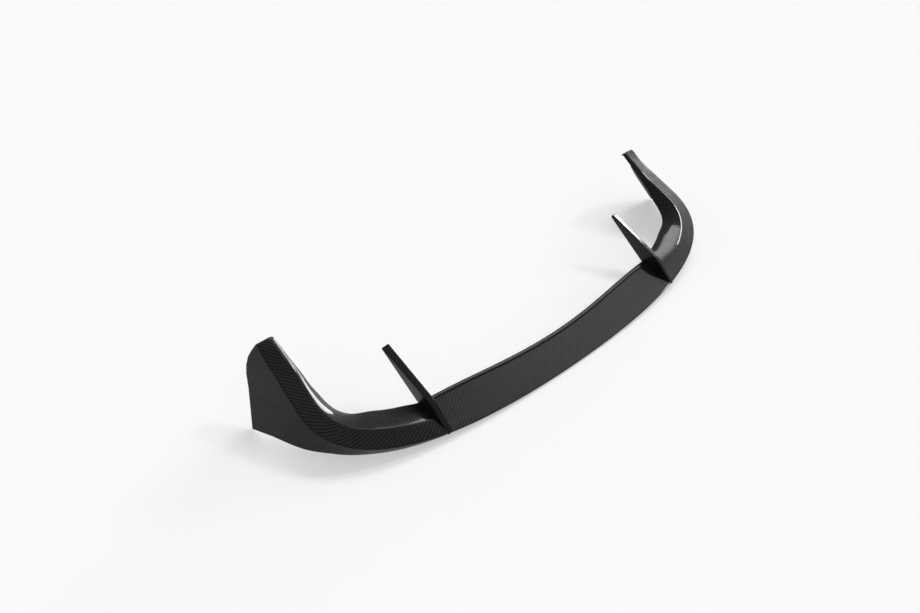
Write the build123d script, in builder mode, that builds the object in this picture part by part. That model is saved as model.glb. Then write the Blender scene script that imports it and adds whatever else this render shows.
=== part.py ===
from build123d import *
import os
from math import acos, atan2, cos, degrees, radians, sin, tan

# Roof spoiler for a hatchback, moulded in one piece: a rim that runs along one arm, round
# the corner, along the blade and back up the other arm, two fins and two end plates.
# All sizes are in millimetres. They are given in the deck, the plane of the rim's outer
# edge, where x runs across the car, "back" counts from the arm tips towards the trailing
# edge and "top", "depth" and "drop" count up or down off the deck.

# Outer edge of the rim in plan: a straight arm, then one sweep to the middle of the blade
arm_half_width = 545.0
tip_inset = 9.5
arm_length = 146.0
corner_pull = 100.0
trail_inset = 55.0
trail_back = 362.0

# Skin of the open arms and rounding of the long edges
skin = 3.0
edge_radius = 2.0
crease_radius = 5.0
wall_bow = 0.5
blade_belly = 2.0
lead_edge = 5.0

# Rim from its outer edge to the crease: narrower and lifted off the deck at the arm's tip
tip_rim_width = 23.0
tip_crease_height = 10.0
tip_lift = 10.0
neck_rim_width = 30.0
neck_crease_height = 7.0
rim_width = 36.0
crease_height = 5.0

# Distances along the outer edge where the section is set: from the arm's tip to its neck, and
# from the end of the arm into the bend
neck_back = 45.0
bend_run = 51.0
corner_run = 102.0
shoulder_run = 184.0

# Slope from the crease down to the inner edge: its run and its depth
tip_slope_run = 11.5
tip_slope_depth = -6.5
neck_slope_run = 11.0
neck_slope_depth = 0.0
apex_slope_run = 13.5
apex_slope_depth = 8.5
arm_slope_run = 23.0
arm_slope_depth = 16.5
bend_slope_run = 30.0
bend_slope_depth = 18.5
corner_slope_run = 36.0
corner_slope_depth = 18.5
blade_slope_run = 46.0
blade_slope_depth = 16.0

# Outer wall below the rim: the end plate beside the arm, the rear face behind the blade
plate_drop = 116.5
plate_run = 45.0
arm_wall_drop = 79.0
bend_wall_drop = 50.0
corner_wall_drop = 31.0
shoulder_wall_drop = 20.0
joint_wall_drop = 8.0
trail_wall_drop = 5.5
plate_upper_lean = 23.5
plate_lower_lean = 26.5
bend_lean = 22.0
corner_lean = 12.0
plate_crease_run = 8.0
plate_crease_rise = 0.66
front_straight = 18.0
front_radius = 55.0

# How far the underside has closed at the bend and at the corner: 0 is open, 1 is a full blade
bend_closing = 0.1
corner_closing = 0.4

# Blade between the fins, with a rolled lip along its leading edge
blade_chord = 83.0
span_chord = 88.0
lip_width = 11.0
lip_top_depth = 9.0
lip_nose_depth = 15.5
lip_thickness = 12.0

# Fins, which straddle the joint between corner and blade
fin_lap = 5.0
fin_crown_fall = 3.5
fin_tip_thickness = 16.0
fin_foot_thickness = 10.5
fin_tip_back = 129.0
fin_tip_top = 12.5
fin_tip_bottom = 5.5
fin_peak_back = 276.0
fin_peak_top = 21.5
fin_foot_back = 330.0
fin_foot_top = 2.5
fin_root_back = 250.0
fin_root_depth = 20.0

# Construction: extra length in front of the arm's tip before it is trimmed, number of
# sections round the corner, and shares of the trailing edge from the arm to the middle
trim = 6.0
corner_steps = 10
joint_share = 0.485
span_share = 0.72

# The part stands on the lowest corners of its end plates and the middle of its trailing
# edge, so its deck leans back by the angle between those points
apex_back = arm_length - plate_run
deck_lean = degrees(atan2(plate_drop - trail_wall_drop, trail_back - apex_back))
lean_sin = sin(radians(deck_lean))
lean_cos = cos(radians(deck_lean))
deck_height = apex_back * lean_sin + plate_drop * lean_cos
rear_reach = trail_back * lean_cos
front_reach = front_radius * (lean_cos - 1) - front_straight * lean_sin
deck_front = (rear_reach + front_reach) / 2
deck = Plane(
    origin=(0, deck_front, deck_height),
    x_dir=(1, 0, 0),
    z_dir=(0, -lean_sin, lean_cos),
)
# Upright plane along the car: local x runs forwards along the deck, local y is up
side_view = Plane(origin=deck.origin, x_dir=deck.y_dir, z_dir=deck.x_dir)


def section_plane(point, inward):
    """Plane across the rim: local x runs inwards from the outer edge, local y is up."""
    return Plane(
        origin=deck.from_local_coords(point),
        x_dir=deck.x_dir * inward.X + deck.y_dir * inward.Y,
        z_dir=deck.x_dir * inward.Y - deck.y_dir * inward.X,
    )


def across(direction):
    """Inward direction square to a direction of travel from the arm tip to the middle."""
    return Vector(direction.Y, -direction.X).normalized()


def blend(start, end, share):
    """Values between two sets of values."""
    return tuple(a + (b - a) * share for a, b in zip(start, end))


def rim_section(fold, lift, width, rise, run, depth, drop, upper_lean, lower_lean, closed):
    """Corners of rim, slope and outer wall: an open channel, or with closed = 1 a full blade."""
    slope_angle = atan2(rise + depth, run)
    fold_out = fold * tan(radians(upper_lean))
    foot_out = fold_out + (drop - fold) * tan(radians(lower_lean))
    upper_skin = skin / cos(radians(upper_lean))
    lower_skin = skin / cos(radians(lower_lean))
    inner_edge = width + run
    ridge = (0, lift)
    crease = (width, rise)
    lead = (inner_edge, -depth)
    wall_foot = (-foot_out, -drop)
    wall_fold = (-fold_out - wall_bow, -fold)
    lead_under = (inner_edge - skin * sin(slope_angle), -depth - skin * cos(slope_angle))
    crease_under = (width - skin * tan(slope_angle / 2), rise - skin)
    ridge_under = (upper_skin - skin * tan(radians(upper_lean)), lift - skin)
    fold_under = (upper_skin - fold_out, -max(fold, 1.5 * skin))
    foot_under = (lower_skin - foot_out, -drop)
    blade_lead = (inner_edge - lead_edge / 2, -depth - lead_edge)

    def belly(share):
        """Point of the blade's lower skin, which bows down between its two edges."""
        along, up = blend(wall_foot, blade_lead, share)
        return along, up - 4 * blade_belly * share * (1 - share)

    lead_under = blend(lead_under, blade_lead, closed)
    crease_under = blend(crease_under, belly(0.6), closed)
    ridge_under = blend(ridge_under, belly(0.3), closed)
    fold_under = blend(fold_under, belly(0.2), closed)
    foot_under = blend(foot_under, belly(0.1), closed)
    return (
        ridge, crease, lead, lead_under, crease_under,
        ridge_under, fold_under, foot_under, wall_foot, wall_fold,
    )


def plate_fold(distance):
    """Depth of the crease across the end plate's outer face, which fades out at the bend."""
    return max((arm_length + plate_crease_run - distance) * plate_crease_rise, skin)


# Outer edge of the rim, right half. The arm starts a little too far forward, to be trimmed.
with BuildLine() as rim_edge:
    arm_edge = Line((arm_half_width - tip_inset, trim), (arm_half_width, -arm_length))
    trail_edge = Bezier(
        arm_edge @ 1,
        arm_edge @ 1 + (arm_edge % 1) * corner_pull,
        (arm_half_width - trail_inset, -trail_back),
        (0, -trail_back),
    )

forward = Vector(0, 1)
# The plate's lower edge runs on forward of its lowest corner until the front edge cuts it off
lower_edge_slope = (plate_drop - arm_wall_drop) / plate_run
front_drop = plate_drop + lower_edge_slope * (apex_back + trim)
joint_back = arm_length + joint_share * trail_edge.length
neck_drop = plate_drop + lower_edge_slope * (apex_back - neck_back)
plate_leans = (plate_upper_lean, plate_lower_lean)
# Lift of the outer edge, width and rise of the rim, run and depth of the slope, drop and two
# leans of the wall and closing of the underside, at distances along the outer edge
rim_stages = (
    (-trim, (tip_lift, tip_rim_width, tip_crease_height,
             tip_slope_run, tip_slope_depth, front_drop, *plate_leans, 0)),
    (neck_back, (0, neck_rim_width, neck_crease_height,
                 neck_slope_run, neck_slope_depth, neck_drop, *plate_leans, 0)),
    (apex_back, (0, rim_width, crease_height,
                 apex_slope_run, apex_slope_depth, plate_drop, *plate_leans, 0)),
    (arm_length, (0, rim_width, crease_height,
                  arm_slope_run, arm_slope_depth, arm_wall_drop, *plate_leans, 0)),
    (arm_length + bend_run, (0, rim_width, crease_height, bend_slope_run, bend_slope_depth,
                             bend_wall_drop, bend_lean, bend_lean, bend_closing)),
    (arm_length + corner_run, (0, rim_width, crease_height, corner_slope_run, corner_slope_depth,
                               corner_wall_drop, corner_lean, corner_lean, corner_closing)),
    (arm_length + shoulder_run, (0, rim_width, crease_height, blade_slope_run, blade_slope_depth,
                                 shoulder_wall_drop, 0, 0, 1)),
    (joint_back, (0, rim_width, 0,
                  blade_slope_run, blade_slope_depth, joint_wall_drop, 0, 0, 1)),
)


def rim_values(distance):
    """Values of the rim's section at a distance along its outer edge."""
    for (start, before), (end, after) in zip(rim_stages, rim_stages[1:]):
        if distance <= end:
            break
    return blend(before, after, (distance - start) / (end - start))


def rim_sketch(distance, place, inward):
    """Section of the rim at a distance along its outer edge, with ridge and crease rounded."""
    outline = rim_section(plate_fold(distance), *rim_values(distance))
    with BuildSketch(section_plane(place, inward)) as section:
        with BuildLine():
            Polyline(*outline, close=True)
        make_face()
        corners = section.vertices()
        ridge = corners.sort_by_distance(outline[0])[0]
        crease = corners.sort_by_distance(outline[1])[0]
        fillet(ridge, radius=edge_radius)
        fillet(crease, radius=crease_radius)
    return section.sketch


def on_trail(share):
    """Place on the trailing edge and the inward direction there."""
    return trail_edge @ share, across(trail_edge % share)


def mirrored(place, inward):
    """The same place and direction on the left half."""
    return Vector(-place.X, place.Y), Vector(-inward.X, inward.Y)


# Right arm with its end plate: straight from the tip to the bend
arm_sections = []
for distance in (-trim, neck_back, apex_back, arm_length):
    share = (distance + trim) / (arm_length + trim)
    arm_sections.append(rim_sketch(distance, arm_edge @ share, across(arm_edge % share)))
with BuildPart() as arm:
    loft(arm_sections, ruled=True)
    # Front edge of the arm and its end plate: straight down, round, then raked to the corner
    bend_centre = Vector(-front_radius, -front_straight)
    apex = Vector(-apex_back, -plate_drop)
    to_apex = apex - bend_centre
    bend_angle = atan2(to_apex.Y, to_apex.X) + acos(front_radius / to_apex.length)
    with BuildSketch(side_view):
        with BuildLine():
            fall = Line((0, trim + tip_crease_height), (0, -front_straight))
            bend = JernArc(fall @ 1, fall % 1, front_radius, degrees(bend_angle))
            rake = Line(bend @ 1, apex + (apex - bend @ 1))
            Polyline(
                rake @ 1,
                ((rake @ 1).X, -front_drop - trim),
                (arm_length, -front_drop - trim),
                (arm_length, trim + tip_crease_height),
                fall @ 0,
            )
        make_face()
    extrude(amount=2 * arm_half_width, mode=Mode.SUBTRACT)

# Right corner, where the open arm turns into the closed blade
corner_sections = []
for step in range(corner_steps):
    share = joint_share * step / corner_steps
    corner_sections.append(rim_sketch(arm_length + share * trail_edge.length, *on_trail(share)))
corner_sections.append(rim_sketch(joint_back, trail_edge @ joint_share, forward))
with BuildPart() as corner:
    loft(corner_sections)

# Blade between the fins
right_half = (
    (trail_edge @ joint_share, forward, joint_wall_drop, rim_width + blade_slope_run),
    (*on_trail(span_share), trail_wall_drop, span_chord),
)
left_half = [(*mirrored(place, inward), *sizes) for place, inward, *sizes in reversed(right_half)]
middle = (*on_trail(1), trail_wall_drop, blade_chord)
with BuildPart() as blade:
    for place, inward, drop, chord in (*right_half, middle, *left_half):
        with BuildSketch(section_plane(place, inward)):
            with BuildLine():
                rear = Line((0, -drop), (0, 0))
                top = Line(rear @ 1, (chord - lip_width, -lip_top_depth))
                lip_bottom = (chord - lip_width / 2, -lip_nose_depth - lip_thickness / 2)
                ThreePointArc(top @ 1, (chord, -lip_nose_depth), lip_bottom)
                Line(lip_bottom, rear @ 0)
            make_face()
    loft()

# Right fin: a thin wedge that rises from its tip to a peak above the blade and falls to its
# foot. Its crown falls outwards. Its underside in front of the blade is flat, to be bonded to
# the car's own spoiler.
fin_inner_face = (trail_edge @ joint_share).X - fin_lap
with BuildPart() as fin:
    with BuildSketch(side_view.offset(fin_inner_face)):
        with BuildLine():
            Polyline(
                (-fin_tip_back, -fin_root_depth),
                (-fin_tip_back, fin_tip_top),
                (-fin_peak_back, fin_peak_top),
                (-fin_foot_back, fin_foot_top),
                (-fin_foot_back, -fin_root_depth),
                close=True,
            )
        make_face()
    crown_fall = deck.x_dir * fin_tip_thickness - deck.z_dir * fin_crown_fall
    extrude(amount=crown_fall.length, dir=crown_fall)
    with BuildSketch(side_view.offset(fin_inner_face)):
        with BuildLine():
            Polyline(
                (-fin_tip_back, fin_tip_bottom),
                (-fin_tip_back, fin_peak_top),
                (-fin_foot_back, fin_peak_top),
                (-fin_foot_back, -skin),
                (-fin_root_back - fin_tip_thickness, -fin_root_depth + skin),
                (-fin_root_back, -fin_root_depth),
                close=True,
            )
        make_face()
    extrude(amount=fin_tip_thickness, mode=Mode.INTERSECT)
    with BuildSketch(deck):
        with BuildLine():
            Polyline(
                (fin_inner_face, -fin_tip_back),
                (fin_inner_face + fin_tip_thickness, -fin_tip_back),
                (fin_inner_face + fin_foot_thickness, -fin_foot_back),
                (fin_inner_face, -fin_foot_back),
                close=True,
            )
        make_face()
    extrude(amount=fin_root_depth + fin_peak_top, both=True, mode=Mode.INTERSECT)
    crown = fin.faces().filter_by(lambda face: face.normal_at().dot(deck.z_dir) > 0)
    fillet(crown.edges(), radius=edge_radius)

# The whole spoiler: both sides and the blade between them are one moulding
with BuildPart() as spoiler_body:
    add(arm.part)
    add(corner.part)
    add(fin.part)
    mirror(about=Plane.YZ)
    add(blade.part)

os.makedirs("parts", exist_ok=True)
spoiler_body.part.label = "spoiler_body"
export_step(spoiler_body.part, "parts/spoiler_body.step")
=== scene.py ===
from math import acos, atan2, cos, radians, sin

import bmesh
import bpy
import numpy as np
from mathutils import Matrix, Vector


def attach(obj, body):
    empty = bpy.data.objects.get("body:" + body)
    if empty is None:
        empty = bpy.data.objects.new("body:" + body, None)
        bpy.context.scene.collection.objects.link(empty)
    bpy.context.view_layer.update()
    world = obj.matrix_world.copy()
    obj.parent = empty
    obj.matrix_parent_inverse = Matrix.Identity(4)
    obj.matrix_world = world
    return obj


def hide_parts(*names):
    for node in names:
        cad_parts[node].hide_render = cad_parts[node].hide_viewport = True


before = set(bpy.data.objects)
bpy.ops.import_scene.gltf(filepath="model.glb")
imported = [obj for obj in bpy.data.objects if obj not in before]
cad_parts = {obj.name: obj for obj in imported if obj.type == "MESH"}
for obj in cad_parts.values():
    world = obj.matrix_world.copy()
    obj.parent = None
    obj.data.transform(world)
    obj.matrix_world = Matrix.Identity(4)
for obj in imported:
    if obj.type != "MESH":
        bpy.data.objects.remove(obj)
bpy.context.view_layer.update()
scene = bpy.context.scene

# Sizes of the moulding in millimetres. They are given in its deck, the plane of the rim's
# outer edge: x across the car, y forwards from the arm tips, z up off the deck.
arm_half_width = 545.0
tip_half_width = 535.5
tip_start = 6.0
arm_length = 146.0
corner_pull = 100.0
trail_pull = 490.0
trail_back = 362.0
joint_share = 0.485
span_share = 0.72
skin = 3.0
lead_edge = 5.0
blade_belly = 2.0
plate_drop = 116.5
apex_back = 101.0
arm_wall_drop = 79.0
trail_wall_drop = 5.5
joint_wall_drop = 8.0
plate_crease_back = 154.0
plate_crease_rise = 0.66
front_straight = 18.0
front_radius = 55.0
tip_nose = 9.0
joint_chord = 82.0
span_chord = 88.0
blade_chord = 83.0
lip_width = 11.0
lip_top_depth = 9.0
lip_nose_depth = 15.5
lip_thickness = 12.0
fin_inner_face = 327.0
fin_tip_thickness = 16.0
fin_foot_thickness = 10.5
fin_crown_fall = 3.5
fin_tip_back = 129.0
fin_foot_back = 330.0

deck_lean = atan2(plate_drop - trail_wall_drop, trail_back - apex_back)
lean_sin = sin(deck_lean)
lean_cos = cos(deck_lean)
deck_height = apex_back * lean_sin + plate_drop * lean_cos
front_over = front_radius * (lean_cos - 1) - front_straight * lean_sin
deck_front = (trail_back * lean_cos + front_over) / 2


def to_frame(points):
    """Deck millimetres to metres in the shared frame."""
    x, y, z = np.moveaxis(np.asarray(points, float), -1, 0)
    forward = deck_front + y * lean_cos - z * lean_sin
    up = deck_height + y * lean_sin + z * lean_cos
    return np.stack([x, forward, up], -1) / 1000


# Outer edge of the rim, right half: the straight arm, then the sweep to the middle
arm_start = np.array([tip_half_width, tip_start])
arm_end = np.array([arm_half_width, -arm_length])
arm_way = (arm_end - arm_start) / np.linalg.norm(arm_end - arm_start)
bezier = np.array([
    arm_end,
    arm_end + arm_way * corner_pull,
    [trail_pull, -trail_back],
    [0, -trail_back],
])
fine = np.linspace(0, 1, 3001)[:, None]
trail = (
    (1 - fine) ** 3 * bezier[0]
    + 3 * (1 - fine) ** 2 * fine * bezier[1]
    + 3 * (1 - fine) * fine ** 2 * bezier[2]
    + fine ** 3 * bezier[3]
)
trail_way = np.gradient(trail, axis=0)
trail_way /= np.linalg.norm(trail_way, axis=1)[:, None]
trail_run = np.concatenate([[0], np.cumsum(np.linalg.norm(np.diff(trail, axis=0), axis=1))])
trail_length = trail_run[-1]
joint_back = arm_length + joint_share * trail_length


def smooth(value):
    """Eases a share from 0 to 1."""
    value = np.clip(value, 0, 1)
    return value * value * (3 - 2 * value)


def edge_place(distance):
    """Point of the outer edge and the inward direction at a distance from the arm's tip."""
    if distance <= arm_length:
        share = (distance + tip_start) / (arm_length + tip_start)
        return arm_start + (arm_end - arm_start) * share, np.array([arm_way[1], -arm_way[0]])
    run = distance - arm_length
    place = np.array([np.interp(run, trail_run, trail[:, i]) for i in (0, 1)])
    way = np.array([np.interp(run, trail_run, trail_way[:, i]) for i in (0, 1)])
    inward = np.array([way[1], -way[0]])
    share = run / trail_length
    if share < joint_share:
        turn = smooth((share / joint_share - 0.75) / 0.25)
    else:
        turn = 1 - smooth((share - joint_share) / (span_share - joint_share))
    inward = inward * (1 - turn) + np.array([0, 1]) * turn
    return place, inward / np.linalg.norm(inward)


# Section of the rim at distances along the outer edge: lift of the outer edge, width and rise
# of the rim, run and depth of the slope, drop and two leans of the wall, closing underneath
lower_edge_slope = (plate_drop - arm_wall_drop) / (arm_length - apex_back)
stage_back = np.array([-6, 45, 101, 146, 197, 248, 330, joint_back])
stage_values = np.array([
    (10, 23, 10, 11.5, -6.5, plate_drop + lower_edge_slope * (apex_back + 6), 23.5, 26.5, 0),
    (0, 30, 7, 11, 0, plate_drop + lower_edge_slope * (apex_back - 45), 23.5, 26.5, 0),
    (0, 36, 5, 13.5, 8.5, plate_drop, 23.5, 26.5, 0),
    (0, 36, 5, 23, 16.5, arm_wall_drop, 23.5, 26.5, 0),
    (0, 36, 5, 30, 18.5, 50, 22, 22, 0.1),
    (0, 36, 5, 36, 18.5, 31, 12, 12, 0.4),
    (0, 36, 5, 46, 16, 20, 0, 0, 1),
    (0, 36, 0, 46, 16, joint_wall_drop, 0, 0, 1),
])


def stage_slopes():
    """Slopes of a smooth curve through the stages that doesn't overshoot them."""
    gap = np.diff(stage_back)[:, None]
    rise = np.diff(stage_values, axis=0) / gap
    slopes = np.zeros_like(stage_values)
    before, after = rise[:-1], rise[1:]
    same = before * after > 0
    safe_before = np.where(same, before, 1)
    safe_after = np.where(same, after, 1)
    first = 2 * gap[1:] + gap[:-1]
    second = gap[1:] + 2 * gap[:-1]
    middle = (first + second) / (first / safe_before + second / safe_after)
    slopes[1:-1] = np.where(same, middle, 0)
    slopes[0], slopes[-1] = rise[0], rise[-1]
    # The plate's lower edge is straight as far as the end of the arm
    slopes[:4, 5] = -lower_edge_slope
    return slopes


slopes = stage_slopes()


def stage_at(distance):
    """Values of the rim's section at a distance along its outer edge."""
    i = int(np.clip(np.searchsorted(stage_back, distance) - 1, 0, len(stage_back) - 2))
    gap = stage_back[i + 1] - stage_back[i]
    t = (distance - stage_back[i]) / gap
    return (
        (2 * t ** 3 - 3 * t ** 2 + 1) * stage_values[i]
        + (t ** 3 - 2 * t ** 2 + t) * gap * slopes[i]
        + (3 * t ** 2 - 2 * t ** 3) * stage_values[i + 1]
        + (t ** 3 - t ** 2) * gap * slopes[i + 1]
    )


def bend(start, corner, end, t):
    """Point of the curve that rounds a corner, from its start at 0 to its end at 1."""
    return (1 - t) ** 2 * start + 2 * t * (1 - t) * corner + t ** 2 * end


def rounded(corners, radii, arc_steps, edge_steps):
    """Closed outline with its corners rounded, always with the same number of points."""
    corners = np.asarray(corners, float)
    count = len(corners)
    starts, ends = [], []
    for i in range(count):
        to_last = corners[i - 1] - corners[i]
        to_next = corners[(i + 1) % count] - corners[i]
        last_length, next_length = np.linalg.norm(to_last), np.linalg.norm(to_next)
        cosine = np.clip(to_last @ to_next / (last_length * next_length), -1, 1)
        reach = radii[i] / np.tan(max(np.arccos(cosine), 1e-3) / 2)
        reach = min(reach, 0.45 * last_length, 0.45 * next_length)
        starts.append(corners[i] + to_last * reach / last_length)
        ends.append(corners[i] + to_next * reach / next_length)
    outline = []
    for i in range(count):
        for t in np.linspace(0, 1, arc_steps[i] + 1):
            outline.append(bend(starts[i], corners[i], ends[i], t))
        for t in np.linspace(0, 1, edge_steps[i] + 1)[1:-1]:
            outline.append(ends[i] * (1 - t) + starts[(i + 1) % count] * t)
    return np.array(outline)


# Corners of the rim's section in order: ridge, crease, middle of the slope, lead, then the
# same underneath, foot and fold of the wall
rim_radii = (2.5, 5, 80, 1.2, 1.2, 80, 4, 2, 4, 1.2, 1.2, 4)
rim_arcs = (6, 8, 6, 3, 3, 6, 8, 6, 4, 3, 3, 4)
rim_edges = (5, 1, 1, 1, 1, 1, 5, 6, 6, 1, 6, 6)
slope_crown = 1.6
crease_width = 3.6
first_round = 0.6
last_round = 0.5
crease_points = 9


def bevelled(ridge, crease, beyond):
    """Nine points of the narrow flat on the crease, which leans a quarter of the way over."""
    ridge, crease, beyond = (np.asarray(p, float) for p in (ridge, crease, beyond))
    first = (crease - ridge) / np.linalg.norm(crease - ridge)
    last = (beyond - crease) / np.linalg.norm(beyond - crease)
    turn = max(acos(np.clip(first @ last, -1, 1)), 0.02)
    flat = first * sin(0.75 * turn) + last * sin(0.25 * turn)
    flat /= np.linalg.norm(flat)
    start = crease - first * crease_width * sin(0.75 * turn) / sin(turn)
    end = crease + last * crease_width * sin(0.25 * turn) / sin(turn)
    found = []
    for t in (0, 0.5, 1):
        found.append(bend(start - first_round * first, start, start + first_round * flat, t))
    for t in (0.25, 0.5, 0.75):
        found.append(start * (1 - t) + end * t)
    for t in (0, 0.5, 1):
        found.append(bend(end - last_round * flat, end, end + last_round * last, t))
    return np.array(found)


def rim_outline(distance):
    """Rounded section of rim, slope and outer wall at a distance along the outer edge."""
    lift, width, rise, run, depth, drop, upper_lean, lower_lean, closed = stage_at(distance)
    fold = max((plate_crease_back - distance) * plate_crease_rise, skin)
    slope_angle = atan2(rise + depth, run)
    upper_tan, lower_tan = np.tan(radians(upper_lean)), np.tan(radians(lower_lean))
    upper_skin, lower_skin = skin / cos(radians(upper_lean)), skin / cos(radians(lower_lean))
    fold_out = fold * upper_tan
    foot_out = fold_out + (drop - fold) * lower_tan
    inner_edge = width + run
    ridge, crease, lead = (0, lift), (width, rise), (inner_edge, -depth)
    foot = np.array([-foot_out, -drop])
    wall_fold = (-fold_out - 0.5, -fold)
    blade_lead = np.array([inner_edge - lead_edge / 2, -depth - lead_edge])
    open_under = np.array([
        (inner_edge - skin * sin(slope_angle), -depth - skin * cos(slope_angle)),
        (width - skin * np.tan(slope_angle / 2), rise - skin),
        (upper_skin - skin * upper_tan, lift - skin),
        (upper_skin - fold_out, -max(fold, 1.5 * skin)),
        (lower_skin - foot_out, -drop),
    ])
    shares = np.array([1, 0.6, 0.3, 0.2, 0.1])
    closed_under = foot + shares[:, None] * (blade_lead - foot)
    closed_under[:, 1] -= 4 * blade_belly * shares * (1 - shares)
    under = open_under * (1 - closed) + closed_under * closed
    rise_out = slope_crown * np.array([sin(slope_angle), cos(slope_angle)])
    slope_middle = np.array([width + run / 2, (rise - depth) / 2]) + rise_out
    under_middle = (under[0] + under[1]) / 2 + rise_out * (1 - closed)
    top = [ridge, crease, slope_middle, lead]
    corners = [*top, under[0], under_middle, *under[1:], foot, wall_fold]
    outline = rounded(corners, rim_radii, rim_arcs, rim_edges)
    crease_first = rim_arcs[0] + rim_edges[0]
    flat = bevelled(ridge, crease, slope_middle)
    outline[crease_first:crease_first + crease_points] = flat
    return outline


def placed(outline, distance):
    """Section outline set up in the deck at a distance along the outer edge."""
    place, inward = edge_place(distance)
    across, up = outline[:, 0], outline[:, 1]
    return np.stack([place[0] + across * inward[0], place[1] + across * inward[1], up], -1)


def around(outline):
    """Distance round an outline from its first point."""
    steps = np.linalg.norm(np.diff(outline, axis=0), axis=1)
    return np.concatenate([[0], np.cumsum(steps)])


# Front edge of arm and plate in side view: how far back it lies at each height
to_apex = np.array([front_radius - apex_back, front_straight - plate_drop])
bend_angle = atan2(to_apex[1], to_apex[0]) + acos(front_radius / np.linalg.norm(to_apex))
bend_turn = np.linspace(0, -bend_angle, 40)
bend_height = -front_straight - front_radius * np.sin(bend_turn)
bend_back = front_radius * (1 - np.cos(bend_turn))
front_height = np.concatenate([[40], bend_height, [-plate_drop]])
front_back = np.concatenate([[0], bend_back, [apex_back]])
rake = (front_back[-1] - front_back[-2]) / (front_height[-1] - front_height[-2])
front_height = np.append(front_height, -4 * plate_drop)
front_back = np.append(front_back, apex_back - 3 * plate_drop * rake)

samples = np.linspace(-tip_start, arm_length, 609)
outlines = np.array([rim_outline(d) for d in samples])
arm_points = np.array([placed(o, d) for o, d in zip(outlines, samples)])
arm_weave = np.array([around(o) for o in outlines])
behind = -arm_points[..., 1] - np.interp(-arm_points[..., 2], -front_height, front_back)
rim_count = arm_points.shape[1]
first_back = np.empty(rim_count)
for j in range(rim_count):
    k = np.nonzero(behind[:, j] < 0)[0][-1]
    first_back[j] = np.interp(0, behind[k:k + 2, j], samples[k:k + 2])

# Rows of the arm, which start at the front edge: close together there to round it off
near_front = np.array([0, 0.25, 0.7, 1.5, 3, 5, 7.5, 10.5])
arm_rows, arm_weaves = [], []
even_rows = 26
front_rows = len(near_front) + even_rows
for row in range(front_rows):
    points = np.empty((rim_count, 3))
    weave = np.empty((rim_count, 2))
    for j in range(rim_count):
        room = arm_length - first_back[j]
        if row < len(near_front):
            run = near_front[row]
        else:
            share = (row - len(near_front) + 1) / even_rows
            run = near_front[-1] + (room - near_front[-1]) * share
        back = first_back[j] + run
        points[j] = [np.interp(back, samples, arm_points[:, j, i]) for i in range(3)]
        weave[j] = back, np.interp(back, samples, arm_weave[:, j])
        if run < tip_nose:
            fall = tip_nose - np.sqrt(tip_nose ** 2 - (tip_nose - run) ** 2)
            height_share = (points[j, 2] + front_straight) / (front_straight + 4)
            points[j, 2] -= fall * smooth(height_share)
    arm_rows.append(points)
    arm_weaves.append(weave)

# Partner of each outer point on the inner side of the skin, towards which the front edge is rounded
corner_first = np.cumsum([0] + [rim_arcs[i] + rim_edges[i] for i in range(len(rim_arcs))])
partner = np.arange(rim_count)
lead_last = corner_first[3] + rim_arcs[3]
under_first = corner_first[4]
outer_last = corner_first[10] - rim_count - 1
outer_path = [j % rim_count for j in range(lead_last, outer_last, -1)]
inner_path = list(range(under_first, corner_first[9] + rim_arcs[9] + 1))
for outer, inner in zip(outer_path, inner_path):
    partner[outer], partner[inner] = inner, outer
edge_round = 1.5
for row, run in enumerate(near_front):
    if run < edge_round:
        inset = edge_round - np.sqrt(edge_round ** 2 - (edge_round - run) ** 2)
        thickness = arm_rows[row][partner] - arm_rows[row]
        length = np.maximum(np.linalg.norm(thickness, axis=1), skin)[:, None]
        arm_rows[row] = arm_rows[row] + thickness / length * inset * 0.9

# Rows of the corner, as far as a little past the joint with the blade
joint_overlap = 3.0
rows, weaves = list(arm_rows), list(arm_weaves)
crease_run = arm_length
last_crease = None
corner_distances = np.linspace(arm_length, joint_back, 121)
for distance in corner_distances:
    outline = rim_outline(distance)
    points = placed(outline, distance)
    crease_point = points[corner_first[1] + rim_arcs[1] // 2]
    if last_crease is not None:
        crease_run += np.linalg.norm(crease_point - last_crease)
        rows.append(points)
        weaves.append(np.stack([np.full(rim_count, crease_run), around(outline)], -1))
    last_crease = crease_point
rows.append(rows[-1] - np.array([joint_overlap, 0, 0]))
weaves.append(weaves[-1] + np.array([joint_overlap, 0]))


def swept(name, rows, weaves, flip, front_paths=None):
    """Mesh swept through rows of points, closed at both ends, with the weave as its UV map."""
    rows, weaves = np.array(rows), np.array(weaves)
    if not flip and front_paths:
        weaves = weaves * np.array([-1, 1])
    total, count = rows.shape[:2]
    points = to_frame(rows * np.array([-1 if flip else 1, 1, 1]))
    mesh = bpy.data.meshes.new(name)
    build = bmesh.new()
    uv = build.loops.layers.uv.new("weave")
    grid = [[build.verts.new(p) for p in row] for row in points]

    def add(corners, coords):
        if flip:
            corners, coords = corners[::-1], coords[::-1]
        face = build.faces.new(corners)
        for loop, coord in zip(face.loops, coords):
            loop[uv].uv = coord

    for i in range(total - 1):
        for j in range(count):
            k = (j + 1) % count
            wrap = [weaves[i, j], weaves[i + 1, j], weaves[i + 1, k], weaves[i, k]]
            if k == 0:
                step = np.linalg.norm(rows[i, 0] - rows[i, -1])
                wrap[2] = wrap[1] + np.array([0, step])
                wrap[3] = wrap[0] + np.array([0, step])
            add([grid[i][j], grid[i + 1][j], grid[i + 1][k], grid[i][k]], wrap)
    if front_paths:
        outer, inner = front_paths
        for quad in zip(outer, outer[1:], inner[1:], inner):
            add([grid[0][q] for q in quad], [weaves[0, q] for q in quad])
    else:
        add(grid[0], list(weaves[0]))
    add(grid[-1][::-1], list(weaves[-1][::-1]))
    bmesh.ops.recalc_face_normals(build, faces=build.faces)
    build.to_mesh(mesh)
    build.free()
    return bpy.data.objects.new(name, mesh)


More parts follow.
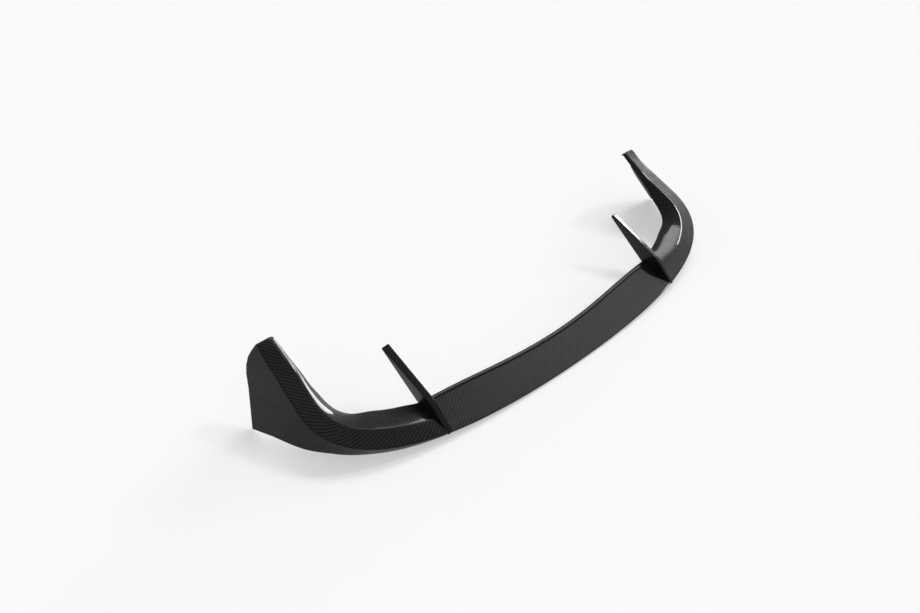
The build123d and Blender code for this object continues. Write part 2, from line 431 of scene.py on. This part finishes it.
# Blade between the fins: a chord that is even about the middle, and a lip that is a roll
# through three points
chord_off = np.array([[(1 - s) ** 2, (1 - s) ** 4] for s in (joint_share, span_share)])
chord_curve = np.linalg.solve(chord_off, [joint_chord - blade_chord, span_chord - blade_chord])
lip_points = np.array([
    (-lip_width, -lip_top_depth),
    (0, -lip_nose_depth),
    (-lip_width / 2, -lip_nose_depth - lip_thickness / 2),
])
lip_middle = np.linalg.solve(
    2 * (lip_points[1:] - lip_points[:-1]),
    (lip_points[1:] ** 2).sum(1) - (lip_points[:-1] ** 2).sum(1),
)
lip_radius = np.linalg.norm(lip_points[0] - lip_middle)
lip_ends = [atan2(*(p - lip_middle)[::-1]) for p in (lip_points[0], lip_points[2])]
lip_turn = np.linspace(*lip_ends, 21)
lip_roll = lip_middle + lip_radius * np.stack([np.cos(lip_turn), np.sin(lip_turn)], -1)
blade_radii = (1.5, 1.2) + (0,) * len(lip_roll)
blade_arcs = (4, 4) + (0,) * len(lip_roll)
blade_edges = (2, 8) + (1,) * (len(lip_roll) - 1) + (6,)


def blade_rows():
    """Rows of the blade from the right fin to the left one."""
    found, woven = [], []
    half = np.linspace(joint_back, arm_length + trail_length, 81)
    for distance in half:
        share = (distance - arm_length) / trail_length
        off = 1 - share
        chord = blade_chord + chord_curve[0] * off ** 2 + chord_curve[1] * off ** 4
        t = smooth((share - joint_share) / (span_share - joint_share))
        drop = joint_wall_drop + (trail_wall_drop - joint_wall_drop) * t
        corners = [(0, -drop), (0, 0), *(lip_roll + np.array([chord, 0]))]
        outline = rounded(corners, blade_radii, blade_arcs, blade_edges)
        points = placed(outline, distance)
        found.append(points)
        along = np.full(len(points), points[0, 0])
        woven.append(np.stack([along, around(outline)], -1))
    mirror = np.array([-1, 1, 1])
    found = [found[0] + np.array([joint_overlap, 0, 0])] + found
    woven = [woven[0] + np.array([joint_overlap, 0])] + woven
    left = [p * mirror for p in found[:-1]][::-1]
    left_woven = [np.stack([-w[:, 0], w[:, 1]], -1) for w in woven[:-1]][::-1]
    return found + left, woven + left_woven


# Fins: profile of the crown and of the underside along the fin, from its tip back
crown_back = np.array([129, 262, 270, 276, 282, 288, 330, 336])
crown_top = np.array([12.5, 20.6, 20.8, 20.2, 19.0, 17.2, 2.5, 0.2])
under_back = np.array([129, 250, 266, 314, 336])
under_top = np.array([5.5, -20, -17, -4, -4])
fin_tip_round = 2.0
fin_radii = (2.2, 2.2, 1.2, 1.2)
fin_arcs = (6, 6, 3, 3)
fin_edges = (4, 4, 3, 4)


def fin_rows():
    """Rows of the right fin from its tip to its foot."""
    near_tip = np.array([0, 0.2, 0.6, 1.2, 2.0])
    backs = np.concatenate([fin_tip_back + near_tip, np.linspace(133, 336, 90)])
    found, woven = [], []
    for back in backs:
        share = np.clip((back - fin_tip_back) / (fin_foot_back - fin_tip_back), 0, 1)
        thickness = fin_tip_thickness + (fin_foot_thickness - fin_tip_thickness) * share
        top = np.interp(back, crown_back, crown_top)
        bottom = np.interp(back, under_back, under_top)
        fall = fin_crown_fall * thickness / fin_tip_thickness
        run = back - fin_tip_back
        inset = 0
        if run < fin_tip_round:
            inset = fin_tip_round - np.sqrt(fin_tip_round ** 2 - (fin_tip_round - run) ** 2)
        top, bottom = top - inset, bottom + 0.6 * inset
        inner, outer = fin_inner_face + inset, fin_inner_face + thickness - inset
        corners = [
            (inner, top),
            (outer, top - fall),
            (outer, min(bottom, top - fall - 0.6)),
            (inner, bottom),
        ]
        outline = rounded(corners, fin_radii, fin_arcs, fin_edges)
        backs_here = np.full(len(outline), back)
        found.append(np.stack([outline[:, 0], -backs_here, outline[:, 1]], -1))
        woven.append(np.stack([backs_here, around(outline)], -1))
    return found, woven


# The five sweeps, joined into one closed mesh
paths = (outer_path, inner_path)
fin_points, fin_weave = fin_rows()
blade_points, blade_weave = blade_rows()
parts = [
    swept("arm_right", rows, weaves, False, paths),
    swept("arm_left", rows, weaves, True, paths),
    swept("blade", blade_points, blade_weave, False),
    swept("fin_right", fin_points, fin_weave, False),
    swept("fin_left", fin_points, fin_weave, True),
]
for part in parts:
    scene.collection.objects.link(part)
body = parts[0]
body.name = "spoiler_shell"
for part in parts[1:]:
    join = body.modifiers.new("join", "BOOLEAN")
    join.operation = "UNION"
    join.solver = "EXACT"
    join.object = part
graph = bpy.context.evaluated_depsgraph_get()
whole = bpy.data.meshes.new_from_object(body.evaluated_get(graph))
body.modifiers.clear()
body.data = whole
for part in parts[1:]:
    bpy.data.objects.remove(part)
whole.shade_smooth()
whole.set_sharp_from_angle(angle=radians(32))
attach(body, "root")
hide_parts("spoiler_body")

# Carbon twill under a clear coat. The UV map runs along the moulding and across it in
# millimetres. Each tow passes over two others and under two, one place further on each time.
tow_width = 2.0
material = bpy.data.materials.new("carbon_twill")
material.use_nodes = True
tree = material.node_tree
shader = tree.nodes["Principled BSDF"]


def value_of(source):
    """Output socket of a node, or a plain number."""
    return source.outputs[0] if hasattr(source, "outputs") else source


def math_node(operation, *sources, tree=tree):
    """Math node fed by nodes, sockets or numbers."""
    node = tree.nodes.new("ShaderNodeMath")
    node.operation = operation
    for socket, source in zip(node.inputs, sources):
        source = value_of(source)
        if isinstance(source, (int, float)):
            socket.default_value = source
        else:
            tree.links.new(source, socket)
    return node


uv_map = tree.nodes.new("ShaderNodeUVMap")
uv_map.uv_map = "weave"
split = tree.nodes.new("ShaderNodeSeparateXYZ")
tree.links.new(uv_map.outputs["UV"], split.inputs["Vector"])
along = math_node("DIVIDE", split.outputs["X"], tow_width)
across = math_node("DIVIDE", split.outputs["Y"], tow_width)
along_tow = math_node("FLOOR", along)
across_tow = math_node("FLOOR", across)
turn = math_node("FLOORED_MODULO", math_node("SUBTRACT", along_tow, across_tow), 4)
lengthways = math_node("LESS_THAN", turn, 1.5)
along_part = math_node("FRACT", along)
across_part = math_node("FRACT", across)


def crown(part):
    """Height across one tow, from its edges to its middle."""
    centred = math_node("SUBTRACT", math_node("MULTIPLY", part, 2), 1)
    return math_node("SUBTRACT", 1, math_node("POWER", math_node("ABSOLUTE", centred), 2.5))


lengthways_height = crown(across_part)
crossways_height = crown(along_part)


def choose(share, low, high):
    """Mix of two numbers by a share."""
    node = tree.nodes.new("ShaderNodeMix")
    node.data_type = "FLOAT"
    tree.links.new(value_of(share), node.inputs[0])
    for socket, source in ((node.inputs[2], low), (node.inputs[3], high)):
        source = value_of(source)
        if isinstance(source, (int, float)):
            socket.default_value = source
        else:
            tree.links.new(source, socket)
    return node.outputs[0]


height = choose(lengthways, crossways_height, lengthways_height)
tow_number = choose(lengthways, along_tow, math_node("ADD", across_tow, 517))
tow_noise = tree.nodes.new("ShaderNodeTexWhiteNoise")
tow_noise.noise_dimensions = "1D"
tree.links.new(tow_number, tow_noise.inputs["W"])
fibres = tree.nodes.new("ShaderNodeTexNoise")
fibres.noise_dimensions = "2D"
fibres.inputs["Scale"].default_value = 1.0
fibres.inputs["Detail"].default_value = 2.0
stretch = tree.nodes.new("ShaderNodeCombineXYZ")
fine_scale, long_scale = 6, 0.25
for axis, low, high in (("X", fine_scale, long_scale), ("Y", long_scale, fine_scale)):
    crossways_place = math_node("MULTIPLY", split.outputs[axis], low)
    lengthways_place = math_node("MULTIPLY", split.outputs[axis], high)
    place = choose(lengthways, crossways_place, lengthways_place)
    tree.links.new(place, stretch.inputs[axis])
tree.links.new(stretch.outputs[0], fibres.inputs["Vector"])
# Painted sheen: lengthways tows are painted lighter than crossways ones, in place of light running
# along the fibres. The noise added on top is tone that differs at random from tow to tow and along
# the fibres.
sheen_and_tone = choose(lengthways, 0.12, 0.72)
for noise, amount in ((tow_noise.outputs["Value"], 0.25), (fibres.outputs["Fac"], 0.5)):
    change = math_node("MULTIPLY", math_node("SUBTRACT", noise, 0.5), amount)
    sheen_and_tone = math_node("ADD", sheen_and_tone, change)
# Painted shade: each tow is darker towards its edges, where it dips under its neighbours.
shade = math_node("ADD", 0.35, math_node("MULTIPLY", height, 0.65))
sheen_and_tone = math_node("MULTIPLY", sheen_and_tone, shade)
colour = tree.nodes.new("ShaderNodeValToRGB")
colour.color_ramp.elements[0].color = (0.002, 0.002, 0.0022, 1.0)
colour.color_ramp.elements[1].color = (0.024, 0.024, 0.0245, 1.0)
tree.links.new(sheen_and_tone.outputs[0], colour.inputs["Fac"])
tree.links.new(colour.outputs["Color"], shader.inputs["Base Color"])
rough = choose(lengthways, 0.42, 0.34)
tree.links.new(rough, shader.inputs["Roughness"])
bump = tree.nodes.new("ShaderNodeBump")
bump.inputs["Strength"].default_value = 0.5
bump.inputs["Distance"].default_value = 0.0003
tree.links.new(height, bump.inputs["Height"])
tree.links.new(bump.outputs["Normal"], shader.inputs["Normal"])
shader.inputs["Specular IOR Level"].default_value = 0.05
shader.inputs["Coat Weight"].default_value = 0.5
shader.inputs["Coat Roughness"].default_value = 0.02
shader.inputs["Coat IOR"].default_value = 1.36
whole.materials.clear()
whole.materials.append(material)

# Camera at the photograph's viewing angle
view_tilt = radians(40.32)
view_across, view_forward = 0.6655 * cos(view_tilt), 0.7464 * cos(view_tilt)
view_direction = Vector((view_across, view_forward, -sin(view_tilt)))
camera_data = bpy.data.cameras.new("camera")
camera_data.sensor_width = 36.0
camera_data.lens = 31.304
camera = bpy.data.objects.new("camera", camera_data)
camera.location = (-0.9677, -0.8854, 1.1453)
camera.rotation_mode = "QUATERNION"
camera.rotation_quaternion = view_direction.to_track_quat("-Z", "Y")
scene.collection.objects.link(camera)
scene.camera = camera

# White floor. For the eye and in reflections a part of it is plain white, which keeps the
# shadows pale without more light on the moulding.
floor_lift = 0.45
floor_mesh = bpy.data.meshes.new("floor")
reach = 6.0
floor_mesh.from_pydata(
    [(x * reach, y * reach, 0.0) for x, y in ((-1, -1), (1, -1), (1, 1), (-1, 1))],
    [],
    [(0, 1, 2, 3)],
)
floor = bpy.data.objects.new("floor", floor_mesh)
scene.collection.objects.link(floor)
floor_material = bpy.data.materials.new("floor")
floor_material.use_nodes = True
floor_tree = floor_material.node_tree
floor_shader = floor_tree.nodes["Principled BSDF"]
floor_shader.inputs["Base Color"].default_value = (0.9, 0.9, 0.9, 1.0)
floor_shader.inputs["Roughness"].default_value = 0.9
floor_shader.inputs["Specular IOR Level"].default_value = 0.0
floor_white = floor_tree.nodes.new("ShaderNodeEmission")
floor_mix = floor_tree.nodes.new("ShaderNodeMixShader")
paths_seen = floor_tree.nodes.new("ShaderNodeLightPath")
seen = paths_seen.outputs["Is Camera Ray"]
for kind in ("Is Glossy Ray", "Is Transmission Ray"):
    seen = math_node("MAXIMUM", seen, paths_seen.outputs[kind], tree=floor_tree)
lift = math_node("MULTIPLY", seen, floor_lift, tree=floor_tree)
floor_tree.links.new(lift.outputs[0], floor_mix.inputs["Fac"])
floor_tree.links.new(floor_shader.outputs["BSDF"], floor_mix.inputs[1])
floor_tree.links.new(floor_white.outputs["Emission"], floor_mix.inputs[2])
floor_output = floor_tree.nodes["Material Output"]
floor_tree.links.new(floor_mix.outputs["Shader"], floor_output.inputs["Surface"])
floor_mesh.materials.append(floor_material)

# Soft key light, high on the right
key_from = Vector((0.715, -0.10, 0.692))
key_light = bpy.data.lights.new("key", "SUN")
key_light.energy = 0.55
key_light.angle = radians(7)
key = bpy.data.objects.new("key", key_light)
key.rotation_mode = "QUATERNION"
key.rotation_quaternion = (-key_from).to_track_quat("-Z", "Y")
scene.collection.objects.link(key)

# Studio round the part: an even light, and soft-edged lights on the right that show in the coat
world = bpy.data.worlds.new("studio")
world.use_nodes = True
sky = world.node_tree
background = sky.nodes["Background"]
background.inputs["Color"].default_value = (1.0, 1.0, 1.0, 1.0)
directions = sky.nodes.new("ShaderNodeTexCoord")


def glow(direction, inner, outer, strength):
    """Soft-edged round light in the sky: full within one angle, none beyond the other."""
    dot = sky.nodes.new("ShaderNodeVectorMath")
    dot.operation = "DOT_PRODUCT"
    sky.links.new(directions.outputs["Generated"], dot.inputs[0])
    dot.inputs[1].default_value = Vector(direction).normalized()
    edge = sky.nodes.new("ShaderNodeMapRange")
    edge.interpolation_type = "SMOOTHSTEP"
    edge.inputs["From Min"].default_value = cos(radians(outer))
    edge.inputs["From Max"].default_value = cos(radians(inner))
    edge.inputs["To Max"].default_value = strength
    sky.links.new(dot.outputs["Value"], edge.inputs["Value"])
    return edge.outputs["Result"]


even_light = 0.4
lights = (
    # Broad, over the blade and the rims
    glow((0.74, 0.0, 0.67), 10, 26, 1.8),
    # Slope of the right corner
    glow((0.46, 0.38, 0.80), 5, 10, 13.0),
    # Lip of the blade
    glow((0.60, 0.26, 0.755), 3, 5.5, 16.0),
    # Low window, slope of the left arm
    glow((0.94, 0.33, 0.05), 8, 11, 26.0),
    # Crown of the right fin
    glow((0.908, 0.16, 0.39), 2.4, 3.6, 44.0),
)
light = even_light
for each in lights:
    light = math_node("ADD", each, light, tree=sky)
sky.links.new(light.outputs[0], background.inputs["Strength"])
scene.world = world

scene.view_settings.view_transform = "Standard"
